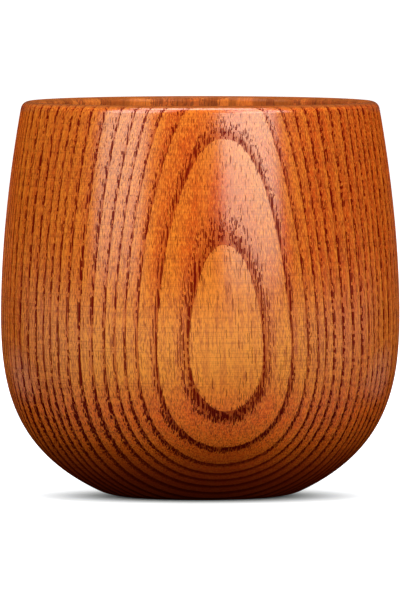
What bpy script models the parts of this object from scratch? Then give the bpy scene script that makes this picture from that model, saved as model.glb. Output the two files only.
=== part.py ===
"""Turned wooden tumbler: a body turned from one piece of wood, under a clear lacquer coat.

Metres, +Z up. The origin is the centre of the foot, on the surface that the tumbler stands on.
Profiles are drawn in the XZ half-plane as (radius, height) and turned about Z.
"""

import math

import bpy
from mathutils import Vector
from mathutils.geometry import interpolate_bezier

# Finished outside, over the lacquer
HEIGHT = 0.0750
BELLY_DIAMETER = 0.0760
BELLY_LEVEL = 0.0344
FOOT_DIAMETER = 0.0310  # of the flat that the tumbler stands on
FOOT_ROUND = 0.0098  # radius of the foot's rounded edge
FOOT_RISE = math.radians(25.6)  # slope of the underside where it leaves that rounding
LIP_DIAMETER = 0.0650  # across the crest of the lip
LIP_OUTER_ROUND = 0.0017  # radius from the crest to the outside
LIP_INNER_ROUND = 0.0010  # radius from the crest to the inside
WALL_LEAN = math.radians(10.1)  # how far the wall leans in where it meets the lip

# Lengths of the handles that shape the outside: how far each end of a curve holds its direction
FOOT_REACH = 0.0184
BELLY_REACH_DOWN = 0.0126
BELLY_REACH_UP = 0.0097
LIP_REACH = 0.0160

# Finished inside
FLOOR_LEVEL = 0.0080
FLOOR_DIAMETER = 0.0240
FLOOR_RISE = math.radians(12.0)
BELLY_WALL = 0.0040  # wall thickness at the belly
INNER_LEAN = math.radians(8.0)
FLOOR_REACH = 0.0185
INNER_REACH_DOWN = 0.0150
INNER_REACH_UP = 0.0135
INNER_LIP_REACH = 0.0116

# Turned recess under the foot, which leaves a ring to stand on
RECESS_DIAMETER = 0.0240
RECESS_DEPTH = 0.0009
RECESS_SLOPE = 0.0012  # width of its sloping edge

# Lacquer
LACQUER_THICKNESS = 0.0002
LACQUER_GAP = 0.00003  # keeps the film's faces off the wood's
LACQUER_LINE = 0.0003  # the film ends this far above the surface, so that the tumbler stands on wood

# Fineness
TURNING_STEPS = 48
LOWER_STEPS = 12  # below the belly
UPPER_STEPS = 6  # above the belly
HALF_LIP_STEPS = 4  # on each side of the crest
FOOT_STEPS = 3  # on the foot's rounded edge, down to the lacquer line
MERGE_DISTANCE = 0.00001

# Finishes
WOOD_COLOUR = (0.56, 0.21, 0.045)
WOOD_ROUGHNESS = 0.45
LACQUER_COLOUR = (0.80, 0.45, 0.16)
LACQUER_ROUGHNESS = 0.22
LACQUER_ALPHA = 0.3

WOOD_INSET = LACQUER_THICKNESS + LACQUER_GAP


def clear_scene():
    for obj in list(bpy.data.objects):
        bpy.data.objects.remove(obj)


def direction(angle):
    """A unit step in the profile plane, at this angle above the outward horizontal."""
    return Vector((math.cos(angle), math.sin(angle)))


def curve(start, start_handle, end_handle, end, steps):
    """Points of one Bezier curve, both ends included."""
    return [point.to_2d() for point in interpolate_bezier(start, start_handle, end_handle, end, steps + 1)]


def arc(centre, radius, first_angle, last_angle, steps):
    """Points of one arc, both ends included."""
    turn = (last_angle - first_angle) / steps
    return [centre + radius * direction(first_angle + turn * step) for step in range(steps + 1)]


def joined(*stretches):
    """One run of points from stretches that share their end points."""
    points = list(stretches[0])
    for stretch in stretches[1:]:
        points += stretch[1:]
    return points


def finished_profile():
    """The surface that the hand meets, from the middle of the floor over the lip to the lacquer line."""
    crest = Vector((LIP_DIAMETER / 2, HEIGHT))
    lip_inner_centre = crest - Vector((0, LIP_INNER_ROUND))
    lip_outer_centre = crest - Vector((0, LIP_OUTER_ROUND))
    lip = joined(
        arc(lip_inner_centre, LIP_INNER_ROUND, math.pi + INNER_LEAN, math.pi / 2, HALF_LIP_STEPS),
        arc(lip_outer_centre, LIP_OUTER_ROUND, math.pi / 2, WALL_LEAN, HALF_LIP_STEPS),
    )

    inner_belly = Vector((BELLY_DIAMETER / 2 - BELLY_WALL, BELLY_LEVEL))
    floor_edge = Vector((FLOOR_DIAMETER / 2, FLOOR_LEVEL))
    floor = [Vector((0, FLOOR_LEVEL)), floor_edge]
    inner_lower = curve(
        floor_edge,
        floor_edge + FLOOR_REACH * direction(FLOOR_RISE),
        inner_belly - Vector((0, INNER_REACH_DOWN)),
        inner_belly,
        LOWER_STEPS,
    )
    inner_upper = curve(
        inner_belly,
        inner_belly + Vector((0, INNER_REACH_UP)),
        lip[0] - INNER_LIP_REACH * direction(math.pi / 2 + INNER_LEAN),
        lip[0],
        UPPER_STEPS,
    )

    belly = Vector((BELLY_DIAMETER / 2, BELLY_LEVEL))
    foot_centre = Vector((FOOT_DIAMETER / 2, FOOT_ROUND))
    lacquer_rise = math.acos(1 - LACQUER_LINE / FOOT_ROUND)
    foot = arc(foot_centre, FOOT_ROUND, FOOT_RISE - math.pi / 2, lacquer_rise - math.pi / 2, FOOT_STEPS)
    outer_upper = curve(
        lip[-1],
        lip[-1] - LIP_REACH * direction(math.pi / 2 + WALL_LEAN),
        belly + Vector((0, BELLY_REACH_UP)),
        belly,
        UPPER_STEPS,
    )
    outer_lower = curve(
        belly,
        belly - Vector((0, BELLY_REACH_DOWN)),
        foot[0] + FOOT_REACH * direction(FOOT_RISE),
        foot[0],
        LOWER_STEPS,
    )
    return joined(floor, inner_lower, inner_upper, lip, outer_upper, outer_lower, foot)


def inset(points, depth):
    """The profile moved into the wood by depth. On the axis a point only moves down."""
    moved = []
    for before, point, after in zip(points[:1] + points, points, points[1:] + points[-1:]):
        along = (after - before).normalized()
        into_wood = Vector((0, -1)) if point.x == 0 else Vector((along.y, -along.x))
        moved.append(point + depth * into_wood)
    return moved


def body_profile(finished):
    """The wood: the finished surface set back by the lacquer, then the bare foot and its recess."""
    bare = [
        Vector((FOOT_DIAMETER / 2, 0)),
        Vector((RECESS_DIAMETER / 2, 0)),
        Vector((RECESS_DIAMETER / 2 - RECESS_SLOPE, RECESS_DEPTH)),
        Vector((0, RECESS_DEPTH)),
    ]
    return inset(finished, WOOD_INSET) + bare


def lacquer_profile(finished):
    """The film: the finished surface, then back along its underside."""
    return finished + inset(finished, LACQUER_THICKNESS)[::-1]


def material(name, colour, roughness, alpha=1.0):
    made = bpy.data.materials.new(name)
    made.use_nodes = True
    shader = made.node_tree.nodes["Principled BSDF"]
    shader.inputs["Base Color"].default_value = (*colour, 1.0)
    shader.inputs["Roughness"].default_value = roughness
    shader.inputs["Metallic"].default_value = 0.0
    shader.inputs["Alpha"].default_value = alpha
    return made


def turned(name, profile, finish, collection):
    """One solid of revolution about Z, from a profile that runs down its outer side."""
    mesh = bpy.data.meshes.new(name)
    edges = [(start, start + 1) for start in range(len(profile) - 1)]
    if profile[0].x > 0 or profile[-1].x > 0:
        edges.append((len(profile) - 1, 0))
    mesh.from_pydata([(point.x, 0, point.y) for point in profile], edges, [])
    mesh.materials.append(finish)
    obj = bpy.data.objects.new(name, mesh)
    collection.objects.link(obj)
    screw = obj.modifiers.new("turning", "SCREW")
    screw.axis = "Z"
    screw.angle = math.tau
    screw.steps = screw.render_steps = TURNING_STEPS
    screw.use_merge_vertices = True
    screw.merge_threshold = MERGE_DISTANCE
    screw.use_smooth_shade = True
    return obj


def build():
    clear_scene()
    collection = bpy.data.collections.new("wooden_tumbler")
    bpy.context.scene.collection.children.link(collection)
    finished = finished_profile()
    wood = material("turned_wood", WOOD_COLOUR, WOOD_ROUGHNESS)
    clear = material("clear_lacquer", LACQUER_COLOUR, LACQUER_ROUGHNESS, LACQUER_ALPHA)
    turned("turned_body", body_profile(finished), wood, collection)
    turned("lacquer_coat", lacquer_profile(finished), clear, collection)


build()
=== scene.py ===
"""The looks of a turned wooden tumbler: ring-porous wood, cut across its growth rings, under clear lacquer.

The shape, the camera, the lamps and the floor are in metres. The wood is a solid texture, in millimetres.
"""

import math
from types import SimpleNamespace

import bpy
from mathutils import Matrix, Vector
from mathutils.geometry import interpolate_bezier


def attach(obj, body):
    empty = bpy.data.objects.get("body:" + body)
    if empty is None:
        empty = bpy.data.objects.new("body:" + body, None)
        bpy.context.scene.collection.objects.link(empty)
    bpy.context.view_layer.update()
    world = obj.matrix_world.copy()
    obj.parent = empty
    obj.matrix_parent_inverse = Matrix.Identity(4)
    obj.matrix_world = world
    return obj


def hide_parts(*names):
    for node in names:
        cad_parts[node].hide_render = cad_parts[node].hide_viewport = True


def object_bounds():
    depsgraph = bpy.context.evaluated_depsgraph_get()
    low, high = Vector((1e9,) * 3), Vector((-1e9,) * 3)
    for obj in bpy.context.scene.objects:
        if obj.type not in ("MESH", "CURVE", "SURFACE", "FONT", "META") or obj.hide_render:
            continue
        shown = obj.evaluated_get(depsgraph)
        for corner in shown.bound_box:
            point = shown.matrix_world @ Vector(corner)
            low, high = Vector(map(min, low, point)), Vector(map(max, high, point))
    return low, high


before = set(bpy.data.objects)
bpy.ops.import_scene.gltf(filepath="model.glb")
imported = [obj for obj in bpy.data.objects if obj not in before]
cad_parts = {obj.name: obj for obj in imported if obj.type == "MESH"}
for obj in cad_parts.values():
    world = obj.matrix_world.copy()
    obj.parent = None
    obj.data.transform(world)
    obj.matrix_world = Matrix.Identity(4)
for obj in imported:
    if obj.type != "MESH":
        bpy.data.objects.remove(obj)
cad_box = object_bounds()

# Outside of the tumbler: the same sizes as its solids, turned finer here
HEIGHT = cad_box[1].z
BELLY_RADIUS = cad_box[1].x
BELLY_LEVEL = 0.0344
FOOT_RADIUS = 0.0155  # of the flat that the tumbler stands on
FOOT_ROUND = 0.0098  # radius of the foot's rounded edge
FOOT_RISE = math.radians(25.6)  # slope of the underside where it leaves that rounding
LIP_CREST_RADIUS = 0.0325
LIP_OUTER_ROUND = 0.0017  # radius from the crest to the outside
LIP_INNER_ROUND = 0.0010  # radius from the crest to the inside
WALL_LEAN = math.radians(10.1)  # how far the wall leans in where it meets the lip

# Lengths of the handles that shape the outside: how far each end of a curve holds its direction
FOOT_REACH = 0.0184
BELLY_REACH_DOWN = 0.0126
BELLY_REACH_UP = 0.0097
LIP_REACH = 0.0160

# Inside of the tumbler
FLOOR_LEVEL = 0.0080
FLOOR_RADIUS = 0.0120
FLOOR_RISE = math.radians(12.0)
BELLY_WALL = 0.0040  # wall thickness at the belly
INNER_LEAN = math.radians(8.0)
FLOOR_REACH = 0.0185
INNER_REACH_DOWN = 0.0150
INNER_REACH_UP = 0.0135
INNER_LIP_REACH = 0.0116

# Turned recess under the foot
RECESS_RADIUS = 0.0120
RECESS_DEPTH = 0.0009
RECESS_SLOPE = 0.0012  # width of its sloping edge

# Fineness
TURNING_STEPS = 256
WALL_STEPS = 48
EDGE_STEPS = 10
FLOOR_STEPS = 12
MERGE_DISTANCE = 0.00001

# The camera, as the photograph was taken: far off, a little above the lip
IMAGE_HEIGHT = 601
CAMERA_PLACE = Vector((0.0, -1.650, 0.124))
CAMERA_PITCH = math.radians(3.02)
CAMERA_RANGE = 100
FOCAL_PIXELS = 8668
SENSOR = 36.0
CENTRE_OFFSET_PIXELS = 0.3  # the axis of the tumbler stands this far left of the picture's centre

# Lamps and floor. An easing is where a change begins and ends, then what it gives before and after it.
# Without those last two it goes from 0 to 1.
LAMP_DISTANCE = 0.9
WHITE = (1.0, 1.0, 1.0)
STRIP_COLOUR = (0.87, 1.0, 0.82)
WORLD_STRENGTH = 0.03
FLOOR_SIZE = 40
FLOOR_COLOUR = (0.45, 0.455, 0.50)  # as it is seen
FLOOR_BOUNCE = (0.03, 0.03, 0.03)  # as it lights the tumbler
PAINTED_SHADOW_MIDDLE = -0.006  # the painted shadow under the tumbler, where the floor's glow eases off, lies a little towards the camera
PAINTED_SHADOW_SQUASH = 1.6  # and is this many times as wide as deep
PAINTED_SHADOW_GLOW = (0.012, 0.037, 0.0, 0.88)  # by distance from its middle
FAR_GLOW = (0.05, 0.80, 0.0, 0.22)

# The tree: its axis runs in front of the tumbler, and leans and bends as it rises
MILLIMETRES = 1000.0  # in a metre
PITH_TURN = math.radians(8.44)  # the axis stands to the viewer's right of the tumbler's middle
PITH_DISTANCE = 68.13  # from the tumbler's axis
PITH_LEVEL = 35.0  # height at which that distance is measured
PITH_LEAN_X = -0.0266
PITH_LEAN_Y = -0.0486
PITH_BOW_X = 0.00035
PITH_BOW_Y = 0.000365
PITH_TWIST_X = 0.000018
GRAIN_STRETCH = 0.1  # figure in the wood is drawn out along the grain
NOISE_MIDDLE = 0.5  # of a noise, which runs from 0 to 1

# Growth rings
RING_SKEW = 0.0382  # the rings change in width from the viewer's left to right
RING_SKEW_FAR = 0.0356
RING_PITCH = 2.30  # mean width of a ring
RING_START = 31.03  # from the tree's axis to the ring of year 0, but for the swings
# Good and poor years come in two slow swings
SHORT_SWING_REACH = 0.87  # how far it moves a ring
SHORT_SWING_YEARS = 7.42  # from one to the next
SHORT_SWING_START = -0.62  # in years
LONG_SWING_REACH = 0.62
LONG_SWING_YEARS = 10.44
LONG_SWING_START = 0.79
FIRST_YEAR = -4  # nearer to the tree's axis than any of the wood
LAST_YEAR = 38  # farther out than any of the wood
WANDER_SCALE = 0.12
WANDER_DEPTH = 0.4  # how far a ring strays from its round

# Parts of the surface
FACES_IN = (-0.3, 0.3, 1.0, 0.0)  # by how far the surface faces away from the tumbler's axis
ABOVE_FOOT = (3.0, 6.0)  # by height
STEEP = (0.05, 0.40)  # by how far the surface faces down: the wall below the belly
UNDER = (0.58, 0.86)  # by the same: the rounding towards the foot
FLAT_CUT = (-0.98, -0.90, 1.0, 0.0)  # by how far it faces away from the tree's axis: the middle of the front

# Early wood, the dark start of each ring, as parts of a ring
EARLY_FULL = 0.05  # it is full up to here
EARLY_END = 0.21
EARLY_STEEP = 0.08  # how much farther both lie on the wall below the belly
EARLY_FULL_UNDER = 0.05  # and on the rounding towards the foot
EARLY_END_UNDER = 0.25

# Vessels: tubes along the grain, in rows that follow the rings
VESSEL_PITCH = 0.26  # from one vessel to the next along a ring
VESSEL_ROWS = 6  # rows of vessels from one ring's edge to the next
ROW_START = -0.15  # of a row, from a ring's edge to its first row, which the edge cuts
VESSEL_SCATTER = 0.9  # how irregularly they stand
SWAY_RATE = 2.2  # a vessel sways along its length
SWAY_SCALE = 0.5
SWAY_REACH = 1.2  # of the pitch
LOW_LEFT_ROWS = (-16.0, -8.0, 0.15, 0.0)  # low on the left, large vessels reach farther into a ring
CROWD_ROWS = (0.14, 0.40)  # where early vessels give way to late ones, as parts of a ring
EARLY_CROWD = 0.87  # share of early vessels that are open
LATE_CROWD = 0.40
FLAT_EARLY_CROWD = 0.20  # how many fewer on the flat cut
FLAT_LATE_CROWD = 0.04
STEEP_LATE_CROWD = 0.20  # how many fewer below the belly
RIGHT_CROWD = (4.0, 16.0, 1.0, 0.80)
BORE_ROWS = (0.12, 0.42)
EARLY_BORE = 0.52  # radius, as part of the pitch
LATE_BORE = 0.20
FLAT_LATE_BORE = 0.06  # how much wider on the flat cut
LEAST_BORE = 0.7
BORE_SPREAD = 0.6
RIGHT_BORE = (4.0, 16.0, 1.0, 1.45)
FAR_LEFT_BORE = (-34.0, -22.0, 1.2, 1.0)
STEEP_BORE = 0.25
LENGTH_ROWS = (0.30, 0.50)
VESSEL_STEP = 0.6  # a vessel opens or closes at steps of this length along the grain
LATE_VESSEL_STEP = 1.6
STEP_SPREAD = 9.0
VESSEL_CORE = 0.7  # of the bore, fully dark
ROW_DEPTH = (0.15, 0.45, 1.0, 0.8)
UNDER_CLOSED = 0.65

# Figure: noises, and how much of each shows
MARK_AROUND = 0.03  # turning marks are drawn out round the wall
MARK_RATE = 3.8  # and close together up it
MARKS = (0.47, 0.72)
GRIT_STRETCH = 0.20
GRIT_SCALE = 5.2
DARK_GRIT = (0.51, 0.64)
PALE_GRIT = (0.49, 0.34)
FLAT_DARK_GRIT = 1 / 3  # how much less grit shows on the flat cut
FLAT_PALE_GRIT = 0.30
STREAK_STRETCH = 0.05
STREAK_SCALE = 1.8
STREAK_DETAIL = 3.0
STREAKS = (0.40, 0.66)
STREAKS_ACROSS = (2.0, 14.0, 0.42, 0.58)
TONE_SCALE = 0.25
TONE_DETAIL = 3.0
RED_TONE = (0.35, 0.70)
FAR_LEFT_TONE = (-46.0, -34.0, 0.35, 0.0)  # by distance across from the tree's axis, to the right
LEFT_TONE = (-32.0, -12.0, -0.28, 0.02)
RIGHT_TONE = (4.0, 22.0, 0.0, 0.18)
GOLDEN_FROM = (-18.0, -10.0)  # by height over the level of the tree's axis
GOLDEN_TO = (-6.0, 13.0, 1.0, 0.0)
GOLDEN_RIGHT = (4.0, 22.0, 1.0, 0.35)
GOLDEN_LEFT = (-46.0, -28.0, 0.25, 1.0)
RIPE = (0.45, 0.95)  # the end of a ring
RIPE_STEEP = 0.6
RIPE_UP = (8.0, 24.0, 0.5, 0.35)
YOUNG = (0.15, 0.60, 1.0, 0.0)  # the part of a ring after its early wood
# painted shade: darker where the surface faces down, towards the foot
UNDERSIDE = (0.48, 0.86)
PATCH_SCALE = 0.30
PATCH_DETAIL = 1.0
PATCHES = (0.46, 0.60)
PATCH_LEVELS = (62.0, 70.0)
CREST = (0.50, 0.95, 0.0, 0.75)  # by how far the surface faces up: painted shade on the top of the lip
# painted shade on the inside of the lip, just below its crest
INNER_CREST = (0.10, 0.90)
INNER_CREST_RADIUS = (32.2, 32.6, 0.85, 0.0)

# Colours of the wood
ORANGE_WOOD = (0.79, 0.158, 0.012)
RED_WOOD = (0.70, 0.081, 0.006)
EARLY_WOOD = (0.30, 0.026, 0.004)
STEEP_EARLY_WOOD = (0.13, 0.006, 0.001)
VESSEL_WOOD = (0.155, 0.003, 0.001)
STEEP_VESSEL_WOOD = (0.080, 0.001, 0.001)
EARLY_COVER = 0.37
STEEP_EARLY_COVER = 0.25
UNDER_EARLY_COVER = 0.15
VESSEL_COVER = 0.95

# Colours that lie over those, some of them painted shade, with the most that each covers as a fourth number
GOLDEN_WOOD = (0.86, 0.275, 0.027, 1.0)
STEEP_WOOD = (0.98, 0.124, 0.008, 0.7)
RIPE_WOOD = (0.88, 0.265, 0.022, 1.0)
YOUNG_WOOD = (0.60, 0.075, 0.007, 0.5)
STREAK_BROWN = (0.46, 0.060, 0.008, 1.0)
MARK_BROWN = (0.36, 0.050, 0.008, 0.42)
DARK_FIBRE = (0.34, 0.045, 0.008, 0.60)
PALE_FIBRE = (1.00, 0.310, 0.030, 0.50)
# painted shade on the surfaces that face down
UNDERSIDE_PAINTED_SHADE = (0.33, 0.013, 0.005, 0.76)
# painted shade and a painted reflection's grey haze on the inner wall
INSIDE_PAINTED_SHADE_AND_REFLECTION = (0.55, 0.200, 0.065, 0.30)
PATCH_BROWN = (0.20, 0.040, 0.010, 0.55)
# painted shade on the top of the lip
CREST_PAINTED_SHADE = (0.24, 0.062, 0.013, 1.0)

# Finish: bare wood with no gloss of its own, fine relief, and a clear coat
WOOD_ROUGHNESS = 0.6
RELIEF_STRENGTH = 0.5
RELIEF_DEPTH = 0.00004  # in metres
MARK_RELIEF = 0.6  # of the depth of a vessel
COAT_ROUGHNESS = 0.2
COAT_IOR = 1.7
FACING_BLEND = 0.5
FRONT_GLOSS = (0.25, 0.65, 1.0, 0.05)  # by how far the surface turns from the viewer
LIP_GLOSS = (72.8, 73.8)  # by height
GLOSS_START = 10.0  # gloss grows with height from here
GLOSS_GROWTH = 0.0165  # per millimetre
LEAST_GLOSS = 0.20
FOOT_GLOSS = (9.0, 22.0, 0.08, 1.0)
INNER_GLOSS = (32.2, 32.7, 0.12, 1.0)  # by distance from the tumbler's axis
SHEEN = (0.20, 0.55, 0.0, 0.18)  # a faint gloss low on the sides, by how far they turn from the viewer
SHEEN_END = (0.55, 0.85, 1.0, 0.0)
SHEEN_FROM = (16.0, 23.0)  # by height
SHEEN_TO = (24.0, 33.0, 1.0, 0.0)
VESSEL_DULL = 0.88
EARLY_DULL = 0.5


class Field:
    """A value that varies over a surface: an output socket, with arithmetic that adds Math nodes."""

    def __init__(self, tree, socket):
        self.tree = tree
        self.socket = socket

    def math(self, operation, *others):
        node = self.tree.nodes.new("ShaderNodeMath")
        node.operation = operation
        for entry, value in zip(node.inputs, (self, *others)):
            connect(value, entry)
        return Field(self.tree, node.outputs[0])

    def __add__(self, other):
        return self.math("ADD", other)

    def __sub__(self, other):
        return self.math("SUBTRACT", other)

    def __rsub__(self, other):
        return self.math("MULTIPLY", -1.0) + other

    def __mul__(self, other):
        return self.math("MULTIPLY", other)

    def __truediv__(self, other):
        return self.math("DIVIDE", other)

    def between(self, start, end, before=0.0, after=1.0):
        """Eases from one value at start to another at end, and stays level outside them."""
        node = self.tree.nodes.new("ShaderNodeMapRange")
        node.interpolation_type = "SMOOTHSTEP"
        for entry, value in zip(node.inputs, (self, start, end, before, after)):
            connect(value, entry)
        return Field(self.tree, node.outputs[0])


def connect(value, entry):
    """Links a field to a socket, or sets the socket to a plain value."""
    if isinstance(value, Field):
        value.tree.links.new(value.socket, entry)
    else:
        entry.default_value = value


def combine(x, y, z):
    """A vector of three numbers, the first of them a field."""
    node = x.tree.nodes.new("ShaderNodeCombineXYZ")
    for entry, value in zip(node.inputs, (x, y, z)):
        connect(value, entry)
    return Field(x.tree, node.outputs[0])


def parts(vector):
    """The three numbers of a vector."""
    node = vector.tree.nodes.new("ShaderNodeSeparateXYZ")
    connect(vector, node.inputs["Vector"])
    return [Field(vector.tree, output) for output in node.outputs]


def coordinates(tree, kind):
    """The three numbers of a texture coordinate."""
    node = tree.nodes.new("ShaderNodeTexCoord")
    return parts(Field(tree, node.outputs[kind]))


def noise(place, scale, detail=2.0):
    node = place.tree.nodes.new("ShaderNodeTexNoise")
    connect(place, node.inputs["Vector"])
    node.inputs["Scale"].default_value = scale
    node.inputs["Detail"].default_value = detail
    return Field(place.tree, node.outputs["Fac"])


def cells(place, randomness):
    """Points scattered in a plane: how far the nearest is, its place, and three chances that it carries."""
    node = place.tree.nodes.new("ShaderNodeTexVoronoi")
    node.voronoi_dimensions = "2D"
    connect(place, node.inputs["Vector"])
    node.inputs["Scale"].default_value = 1.0
    node.inputs["Randomness"].default_value = randomness
    names = ("Distance", "Position", "Color")
    distance, middle, chance = [Field(place.tree, node.outputs[name]) for name in names]
    return distance, parts(middle), parts(chance)


def scatter(place):
    """A chance that jumps from place to place."""
    node = place.tree.nodes.new("ShaderNodeTexWhiteNoise")
    connect(place, node.inputs["Vector"])
    return Field(place.tree, node.outputs["Value"])


def mix(share, first, second):
    """A colour part of the way from first to second."""
    node = share.tree.nodes.new("ShaderNodeMix")
    node.data_type = "RGBA"
    connect(share, node.inputs["Factor"])
    for name, colour in (("A", first), ("B", second)):
        entry = [socket for socket in node.inputs if socket.name == name and socket.type == "RGBA"][0]
        connect(colour if isinstance(colour, Field) else (*colour, 1.0), entry)
    return Field(share.tree, [socket for socket in node.outputs if socket.type == "RGBA"][0])


def layered(colour, *layers):
    """A colour under layers of others, each given as its share of the surface and its colour and cover."""
    for share, (red, green, blue, cover) in layers:
        colour = mix(share * cover, colour, (red, green, blue))
    return colour


def direction(angle):
    """A unit step in the profile plane, at this angle above the outward horizontal."""
    return Vector((math.cos(angle), math.sin(angle)))


def curve(start, start_handle, end_handle, end, steps):
    """Points of one Bezier curve, both ends included."""
    return [point.to_2d() for point in interpolate_bezier(start, start_handle, end_handle, end, steps + 1)]


def arc(centre, radius, first_angle, last_angle, steps):
    """Points of one arc, both ends included."""
    turn = (last_angle - first_angle) / steps
    return [centre + radius * direction(first_angle + turn * step) for step in range(steps + 1)]


def inside_profile():
    """From the middle of the floor up the inner wall to the crest of the lip."""
    lip_centre = Vector((LIP_CREST_RADIUS, HEIGHT - LIP_INNER_ROUND))
    lip = arc(lip_centre, LIP_INNER_ROUND, math.pi + INNER_LEAN, math.pi / 2, EDGE_STEPS)
    belly = Vector((BELLY_RADIUS - BELLY_WALL, BELLY_LEVEL))
    floor_edge = Vector((FLOOR_RADIUS, FLOOR_LEVEL))
    floor = [floor_edge * Vector((step / FLOOR_STEPS, 1)) for step in range(FLOOR_STEPS)]
    lower = curve(
        floor_edge,
        floor_edge + FLOOR_REACH * direction(FLOOR_RISE),
        belly - Vector((0, INNER_REACH_DOWN)),
        belly,
        WALL_STEPS,
    )
    upper = curve(
        belly,
        belly + Vector((0, INNER_REACH_UP)),
        lip[0] - INNER_LIP_REACH * direction(math.pi / 2 + INNER_LEAN),
        lip[0],
        WALL_STEPS,
    )
    return floor + lower + upper[1:] + lip[1:]


def outside_profile():
    """From the crest of the lip down the outer wall to the flat of the foot, without the crest itself."""
    lip_centre = Vector((LIP_CREST_RADIUS, HEIGHT - LIP_OUTER_ROUND))
    lip = arc(lip_centre, LIP_OUTER_ROUND, math.pi / 2, WALL_LEAN, EDGE_STEPS)
    belly = Vector((BELLY_RADIUS, BELLY_LEVEL))
    foot_centre = Vector((FOOT_RADIUS, FOOT_ROUND))
    foot = arc(foot_centre, FOOT_ROUND, FOOT_RISE - math.pi / 2, -math.pi / 2, EDGE_STEPS)
    upper = curve(
        lip[-1],
        lip[-1] - LIP_REACH * direction(math.pi / 2 + WALL_LEAN),
        belly + Vector((0, BELLY_REACH_UP)),
        belly,
        WALL_STEPS,
    )
    lower = curve(
        belly,
        belly - Vector((0, BELLY_REACH_DOWN)),
        foot[0] + FOOT_REACH * direction(FOOT_RISE),
        foot[0],
        WALL_STEPS,
    )
    return lip[1:] + upper[1:] + lower[1:] + foot[1:]


def underside_profile():
    """From the edge of the recess under the foot to its middle."""
    slope_middle = RECESS_RADIUS - RECESS_SLOPE / 2
    slope = curve(
        Vector((RECESS_RADIUS, 0)),
        Vector((slope_middle, 0)),
        Vector((slope_middle, RECESS_DEPTH)),
        Vector((RECESS_RADIUS - RECESS_SLOPE, RECESS_DEPTH)),
        EDGE_STEPS,
    )
    return slope + [Vector((RECESS_RADIUS / 2, RECESS_DEPTH)), Vector((0, RECESS_DEPTH))]


def turned(name, profile):
    """A profile of (radius, height) points, turned about Z."""
    mesh = bpy.data.meshes.new(name)
    edges = [(start, start + 1) for start in range(len(profile) - 1)]
    mesh.from_pydata([(point.x, 0, point.y) for point in profile], edges, [])
    piece = bpy.data.objects.new(name, mesh)
    bpy.context.scene.collection.objects.link(piece)
    screw = piece.modifiers.new("turning", "SCREW")
    screw.axis = "Z"
    screw.angle = math.tau
    screw.steps = screw.render_steps = TURNING_STEPS
    screw.use_merge_vertices = True
    screw.merge_threshold = MERGE_DISTANCE
    screw.use_smooth_shade = True
    return piece


def ring_edge(year):
    """How far from the tree's axis one year's ring begins."""
    short = SHORT_SWING_REACH * math.sin(math.tau * (year - SHORT_SWING_START) / SHORT_SWING_YEARS)
    long = LONG_SWING_REACH * math.sin(math.tau * (year - LONG_SWING_START) / LONG_SWING_YEARS)
    return RING_START + RING_PITCH * year + short + long


def ring_count(radius):
    """The year that grew at a radius, with the part of it that had passed."""
    nearest = ring_edge(FIRST_YEAR)
    depth = ring_edge(LAST_YEAR) - nearest
    years = LAST_YEAR - FIRST_YEAR
    node = radius.tree.nodes.new("ShaderNodeFloatCurve")
    line = node.mapping.curves[0]
    for year in range(FIRST_YEAR + 1, LAST_YEAR):
        line.points.new((ring_edge(year) - nearest) / depth, (year - FIRST_YEAR) / years)
    for point in line.points:
        point.handle_type = "VECTOR"
    node.mapping.update()
    connect((radius - nearest) / depth, node.inputs["Value"])
    return Field(radius.tree, node.outputs[0]) * years + FIRST_YEAR


def surface(tree):
    """The point that is shaded: its place on the tumbler, and which way its surface faces."""
    x, y, z = [part * MILLIMETRES for part in coordinates(tree, "Object")]
    normal_x, normal_y, up = coordinates(tree, "Normal")
    down = up * -1.0
    from_axis = (x * x + y * y).math("SQRT")
    outward = (x * normal_x + y * normal_y) / from_axis
    return SimpleNamespace(
        x=x,
        y=y,
        z=z,
        normal_x=normal_x,
        normal_y=normal_y,
        up=up,
        down=down,
        from_axis=from_axis,
        inside=outward.between(*FACES_IN) * z.between(*ABOVE_FOOT),
        steep=down.between(*STEEP),
        under=down.between(*UNDER),
    )


def place_in_tree(spot):
    """Where the point grew: across and deep from the tree's axis, and in which part of which ring."""
    rise = spot.z - PITH_LEVEL
    bow_x = rise * (rise * PITH_TWIST_X + PITH_BOW_X)
    pith_x = rise * (bow_x + PITH_LEAN_X) + PITH_DISTANCE * math.sin(PITH_TURN)
    pith_y = rise * (rise * PITH_BOW_Y + PITH_LEAN_Y) - PITH_DISTANCE * math.cos(PITH_TURN)
    across = spot.x - pith_x
    deep = spot.y - pith_y
    from_pith = (across * across + deep * deep).math("SQRT")
    angle = across.math("ARCTAN2", deep)
    skew = angle * (angle * angle * RING_SKEW_FAR + RING_SKEW) + 1.0
    radius = from_pith * skew
    grain = combine(across, deep, spot.z * GRAIN_STRETCH)
    wander = noise(grain, WANDER_SCALE) - NOISE_MIDDLE
    count = ring_count(radius + wander * WANDER_DEPTH)
    phase = count.math("FRACT")
    early_full = spot.steep * EARLY_STEEP + spot.under * EARLY_FULL_UNDER + EARLY_FULL
    early_end = spot.steep * EARLY_STEEP + spot.under * EARLY_END_UNDER + EARLY_END
    away_from_pith = (across * spot.normal_x + deep * spot.normal_y) / from_pith
    return SimpleNamespace(
        rise=rise,
        across=across,
        deep=deep,
        angle=angle,
        radius=radius,
        grain=grain,
        count=count,
        phase=phase,
        early=phase.between(early_full, early_end, 1.0, 0.0),
        flat=away_from_pith.between(*FLAT_CUT),
    )


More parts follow.
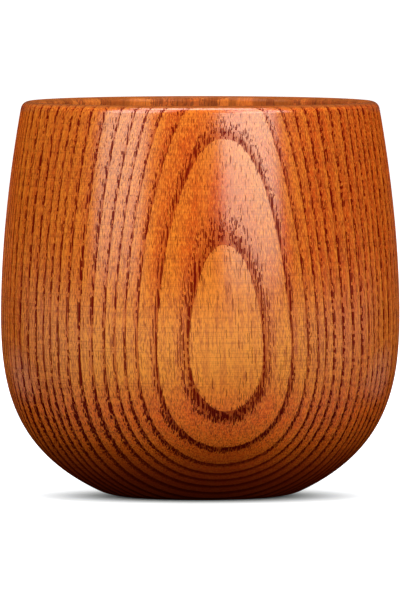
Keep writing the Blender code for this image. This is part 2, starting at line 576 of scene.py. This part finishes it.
def vessels(spot, ring):
    """How far the point lies in an open vessel."""
    sway = noise(combine(ring.across, ring.deep, spot.z * SWAY_RATE), SWAY_SCALE) - NOISE_MIDDLE
    along_ring = ring.angle * (ring.radius - ring.phase * RING_PITCH)
    across_rows = ring.count * VESSEL_ROWS - ROW_START
    place = combine(along_ring / VESSEL_PITCH + sway * SWAY_REACH, across_rows, 0.0)
    distance, middle, chance = cells(place, VESSEL_SCATTER)
    row = ((middle[1] + ROW_START) / VESSEL_ROWS).math("FRACT")
    row = row - spot.steep * ring.across.between(*LOW_LEFT_ROWS)

    early_crowd = EARLY_CROWD - ring.flat * FLAT_EARLY_CROWD
    late_crowd = LATE_CROWD - spot.steep * STEEP_LATE_CROWD - ring.flat * FLAT_LATE_CROWD
    crowd = row.between(*CROWD_ROWS, early_crowd, late_crowd) * ring.across.between(*RIGHT_CROWD)
    length = row.between(*LENGTH_ROWS, VESSEL_STEP, LATE_VESSEL_STEP)
    step = (spot.z / length + chance[2] * STEP_SPREAD).math("FLOOR")
    there = scatter(combine(middle[0], middle[1], step)).math("LESS_THAN", crowd)

    wide = ring.across.between(*RIGHT_BORE) * ring.across.between(*FAR_LEFT_BORE)
    wide = wide * (spot.steep * STEEP_BORE + 1.0)
    late_bore = ring.flat * FLAT_LATE_BORE + LATE_BORE
    bore = row.between(*BORE_ROWS, EARLY_BORE, late_bore) * (chance[1] * BORE_SPREAD + LEAST_BORE) * wide
    pore = distance.between(bore * VESSEL_CORE, bore, 1.0, 0.0) * there * row.between(*ROW_DEPTH)
    return pore * (1.0 - spot.under * UNDER_CLOSED)


def late_wood(spot, ring):
    """The colour between the dark lines: redder and more golden by place, paler towards the end of a ring."""
    tone = noise(ring.grain, TONE_SCALE, TONE_DETAIL) + ring.across.between(*FAR_LEFT_TONE)
    tone = tone + ring.across.between(*LEFT_TONE) + ring.across.between(*RIGHT_TONE)
    golden = ring.rise.between(*GOLDEN_FROM) * ring.rise.between(*GOLDEN_TO)
    golden = golden * ring.across.between(*GOLDEN_RIGHT) * ring.across.between(*GOLDEN_LEFT)
    ripe = ring.phase.between(*RIPE) * (1.0 - spot.steep * RIPE_STEEP) * ring.rise.between(*RIPE_UP)
    return layered(
        mix(tone.between(*RED_TONE), ORANGE_WOOD, RED_WOOD),
        (golden, GOLDEN_WOOD),
        (spot.steep, STEEP_WOOD),
        (ripe, RIPE_WOOD),
        (ring.phase.between(*YOUNG), YOUNG_WOOD),
    )


def wood_colour(spot, ring, pore, marks):
    """Late wood under streaks, marks, fibres and painted shade on the underside, then early wood and vessels,
    then painted shade and reflection on the inside and painted shade on the lip.
    """
    grit = noise(combine(ring.across, ring.deep, spot.z * GRIT_STRETCH), GRIT_SCALE)
    streak = noise(combine(ring.across, ring.deep, spot.z * STREAK_STRETCH), STREAK_SCALE, STREAK_DETAIL)
    colour = layered(
        late_wood(spot, ring),
        (streak.between(*STREAKS) * ring.across.between(*STREAKS_ACROSS), STREAK_BROWN),
        (marks.between(*MARKS), MARK_BROWN),
        (grit.between(*DARK_GRIT) * (1.0 - ring.flat * FLAT_DARK_GRIT), DARK_FIBRE),
        (grit.between(*PALE_GRIT) * (1.0 - ring.flat * FLAT_PALE_GRIT), PALE_FIBRE),
        # painted shade where the surface faces down
        (spot.down.between(*UNDERSIDE), UNDERSIDE_PAINTED_SHADE),
    )
    early_cover = spot.under * UNDER_EARLY_COVER + spot.steep * STEEP_EARLY_COVER + EARLY_COVER
    colour = mix(ring.early * early_cover, colour, mix(spot.steep, EARLY_WOOD, STEEP_EARLY_WOOD))
    colour = mix(pore * VESSEL_COVER, colour, mix(spot.steep, VESSEL_WOOD, STEEP_VESSEL_WOOD))
    patches = noise(ring.grain, PATCH_SCALE, PATCH_DETAIL).between(*PATCHES)
    patches = patches * spot.inside * spot.z.between(*PATCH_LEVELS)
    # painted shade on the top of the lip and just inside it
    inner_crest_shade = spot.up.between(*INNER_CREST) * spot.from_axis.between(*INNER_CREST_RADIUS)
    crest = spot.up.between(*CREST).math("MAXIMUM", inner_crest_shade)
    # the inner wall gets painted shade and a painted reflection, the lip painted shade
    return layered(colour, (spot.inside, INSIDE_PAINTED_SHADE_AND_REFLECTION), (patches, PATCH_BROWN), (crest, CREST_PAINTED_SHADE))


def relief(pore, marks):
    """Turning marks stand up a little, and open vessels are sunk."""
    node = pore.tree.nodes.new("ShaderNodeBump")
    node.inputs["Strength"].default_value = RELIEF_STRENGTH
    node.inputs["Distance"].default_value = RELIEF_DEPTH
    connect(marks * MARK_RELIEF - pore, node.inputs["Height"])
    return Field(pore.tree, node.outputs["Normal"])


def coat_weight(spot, ring, pore):
    """How much gloss shows: most on the upper front and the lip, less over early wood and open vessels."""
    tree = pore.tree
    node = tree.nodes.new("ShaderNodeLayerWeight")
    node.inputs["Blend"].default_value = FACING_BLEND
    turned_away = Field(tree, node.outputs["Facing"])
    front = turned_away.between(*FRONT_GLOSS).math("MAXIMUM", spot.z.between(*LIP_GLOSS))
    upper = ((spot.z - GLOSS_START) * GLOSS_GROWTH).math("MAXIMUM", LEAST_GLOSS).math("MINIMUM", 1.0)
    gloss = front * upper * spot.z.between(*FOOT_GLOSS) * spot.from_axis.between(*INNER_GLOSS)
    sheen = turned_away.between(*SHEEN) * turned_away.between(*SHEEN_END)
    sheen = sheen * spot.z.between(*SHEEN_FROM) * spot.z.between(*SHEEN_TO)
    return gloss.math("MAXIMUM", sheen) * (1.0 - pore * VESSEL_DULL) * (1.0 - ring.early * EARLY_DULL)


def wood():
    material = bpy.data.materials.new("lacquered_wood")
    material.use_nodes = True
    shader = material.node_tree.nodes["Principled BSDF"]
    spot = surface(material.node_tree)
    ring = place_in_tree(spot)
    pore = vessels(spot, ring)
    marks = noise(combine(spot.x * MARK_AROUND, spot.y * MARK_AROUND, spot.z * MARK_RATE), 1.0)
    connect(wood_colour(spot, ring, pore, marks), shader.inputs["Base Color"])
    connect(relief(pore, marks), shader.inputs["Normal"])
    connect(coat_weight(spot, ring, pore), shader.inputs["Coat Weight"])
    shader.inputs["Roughness"].default_value = WOOD_ROUGHNESS
    shader.inputs["Specular IOR Level"].default_value = 0.0
    shader.inputs["Coat Roughness"].default_value = COAT_ROUGHNESS
    shader.inputs["Coat IOR"].default_value = COAT_IOR
    return material


def camera():
    data = bpy.data.cameras.new("camera")
    data.sensor_width = SENSOR
    data.lens = FOCAL_PIXELS * SENSOR / IMAGE_HEIGHT
    data.clip_end = CAMERA_RANGE
    viewer = bpy.data.objects.new("camera", data)
    viewer.location = CAMERA_PLACE
    aside = math.atan(CENTRE_OFFSET_PIXELS / FOCAL_PIXELS)
    viewer.rotation_euler = (math.pi / 2 - CAMERA_PITCH, 0, -aside)
    bpy.context.scene.collection.objects.link(viewer)
    bpy.context.scene.camera = viewer


def softbox(name, azimuth, elevation, width, height, radiance, colour=WHITE):
    """A lamp seen from the tumbler at this azimuth, from the camera's side towards +X, and elevation."""
    data = bpy.data.lights.new(name, "AREA")
    data.shape = "RECTANGLE"
    data.size = width
    data.size_y = height
    data.energy = radiance * math.pi * width * height
    data.color = colour
    lamp = bpy.data.objects.new(name, data)
    turn = math.radians(azimuth)
    lift = math.radians(elevation)
    out = Vector((math.sin(turn) * math.cos(lift), -math.cos(turn) * math.cos(lift), math.sin(lift)))
    lamp.location = Vector((0, 0, HEIGHT / 2)) + LAMP_DISTANCE * out
    lamp.rotation_euler = out.to_track_quat("Z", "Y").to_euler()
    bpy.context.scene.collection.objects.link(lamp)
    return lamp


def lamps():
    softbox("overhead", azimuth=0, elevation=84, width=0.75, height=0.34, radiance=6.5)
    strip = {"elevation": 18, "height": 0.52, "colour": STRIP_COLOUR}
    softbox("left_strip", azimuth=-49, width=0.48, radiance=3.15, **strip)
    softbox("right_strip", azimuth=30.5, width=0.54, radiance=4.75, **strip)
    key = {"elevation": 44, "width": 0.5, "height": 0.5}
    softbox("left_key", azimuth=-48, radiance=4.1, **key)
    softbox("right_key", azimuth=44, radiance=4.2, **key)
    back_fill = softbox("back_fill", azimuth=180, elevation=40, width=0.9, height=0.5, radiance=3.0)
    back_fill.visible_glossy = False  # lights the far side without a line of gloss along the lip


def floor_finish():
    """White where it is seen, with a painted shadow under the tumbler over the lamps' real shadow, and dark
    where it would light the tumbler.
    """
    material = bpy.data.materials.new("floor")
    material.use_nodes = True
    tree = material.node_tree
    shader = tree.nodes["Principled BSDF"]
    shader.inputs["Roughness"].default_value = 1.0
    shader.inputs["Specular IOR Level"].default_value = 0.0
    shader.inputs["Emission Color"].default_value = (*WHITE, 1.0)
    path = tree.nodes.new("ShaderNodeLightPath")
    names = ("Is Camera Ray", "Is Glossy Ray", "Is Transmission Ray")
    by_camera, by_gloss, through_glass = [Field(tree, path.outputs[name]) for name in names]
    seen = (by_camera + by_gloss + through_glass).math("MINIMUM", 1.0)
    connect(mix(seen, FLOOR_BOUNCE, FLOOR_COLOUR), shader.inputs["Base Color"])
    x, y, _ = coordinates(tree, "Object")
    # painted shadow: the glow eases off in an ellipse under the tumbler
    forward = (y - PAINTED_SHADOW_MIDDLE) * PAINTED_SHADOW_SQUASH
    away = (x * x + forward * forward).math("SQRT")
    glow = away.between(*PAINTED_SHADOW_GLOW) + away.between(*FAR_GLOW)
    connect(seen * glow, shader.inputs["Emission Strength"])
    return material


def stage():
    bpy.ops.mesh.primitive_plane_add(size=FLOOR_SIZE)
    floor = bpy.context.object
    floor.name = "floor"
    floor.data.materials.append(floor_finish())
    world = bpy.data.worlds.new("world")
    bpy.context.scene.world = world
    world.use_nodes = True
    background = world.node_tree.nodes["Background"]
    background.inputs["Color"].default_value = (*WHITE, 1.0)
    background.inputs["Strength"].default_value = WORLD_STRENGTH


bpy.context.scene.view_settings.view_transform = "Standard"
camera()
stage()
lamps()

cup = turned("lacquered_cup", inside_profile() + outside_profile() + underside_profile())
cup.data.materials.append(wood())
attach(cup, "root")
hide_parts("turned_body", "lacquer_coat")
